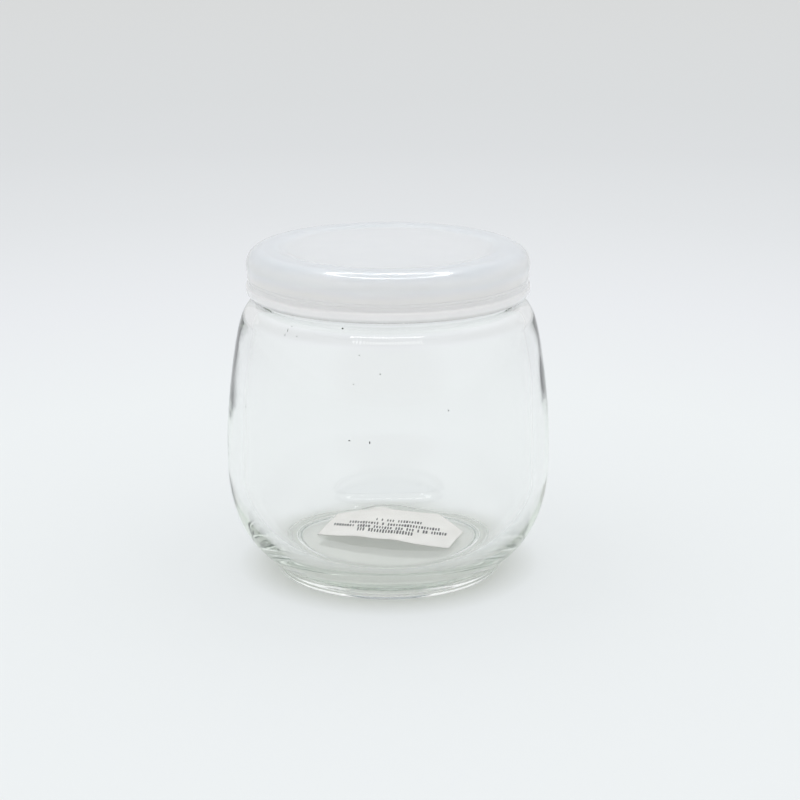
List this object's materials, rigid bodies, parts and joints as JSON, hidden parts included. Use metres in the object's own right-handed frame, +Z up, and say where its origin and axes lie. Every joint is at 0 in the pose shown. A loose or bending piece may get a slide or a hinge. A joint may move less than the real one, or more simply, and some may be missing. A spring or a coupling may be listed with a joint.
{
  "type": "glass jar with push-on lid",
  "caption": "Squat round glass jar with a low foot ring, a translucent white push-on plastic lid and a paper slip lying in its bottom.",
  "frame": {"origin": "middle of the circle that the jar stands on", "axes": "+Z up along the jar's axis of symmetry; -Y is the side the picture was taken from, +X is its right"},
  "size_m": [0.079, 0.079, 0.08],
  "materials": {
    "glass": "clear pressed glass, faintly green where it is thick",
    "lid_plastic": "translucent white soft plastic with a satin gloss",
    "label_paper": "uncoated white paper with short printed bars"
  },
  "bodies": {
    "root": {"jar": "glass", "lid": "lid_plastic", "label": "label_paper"}
  },
  "joints": []
}
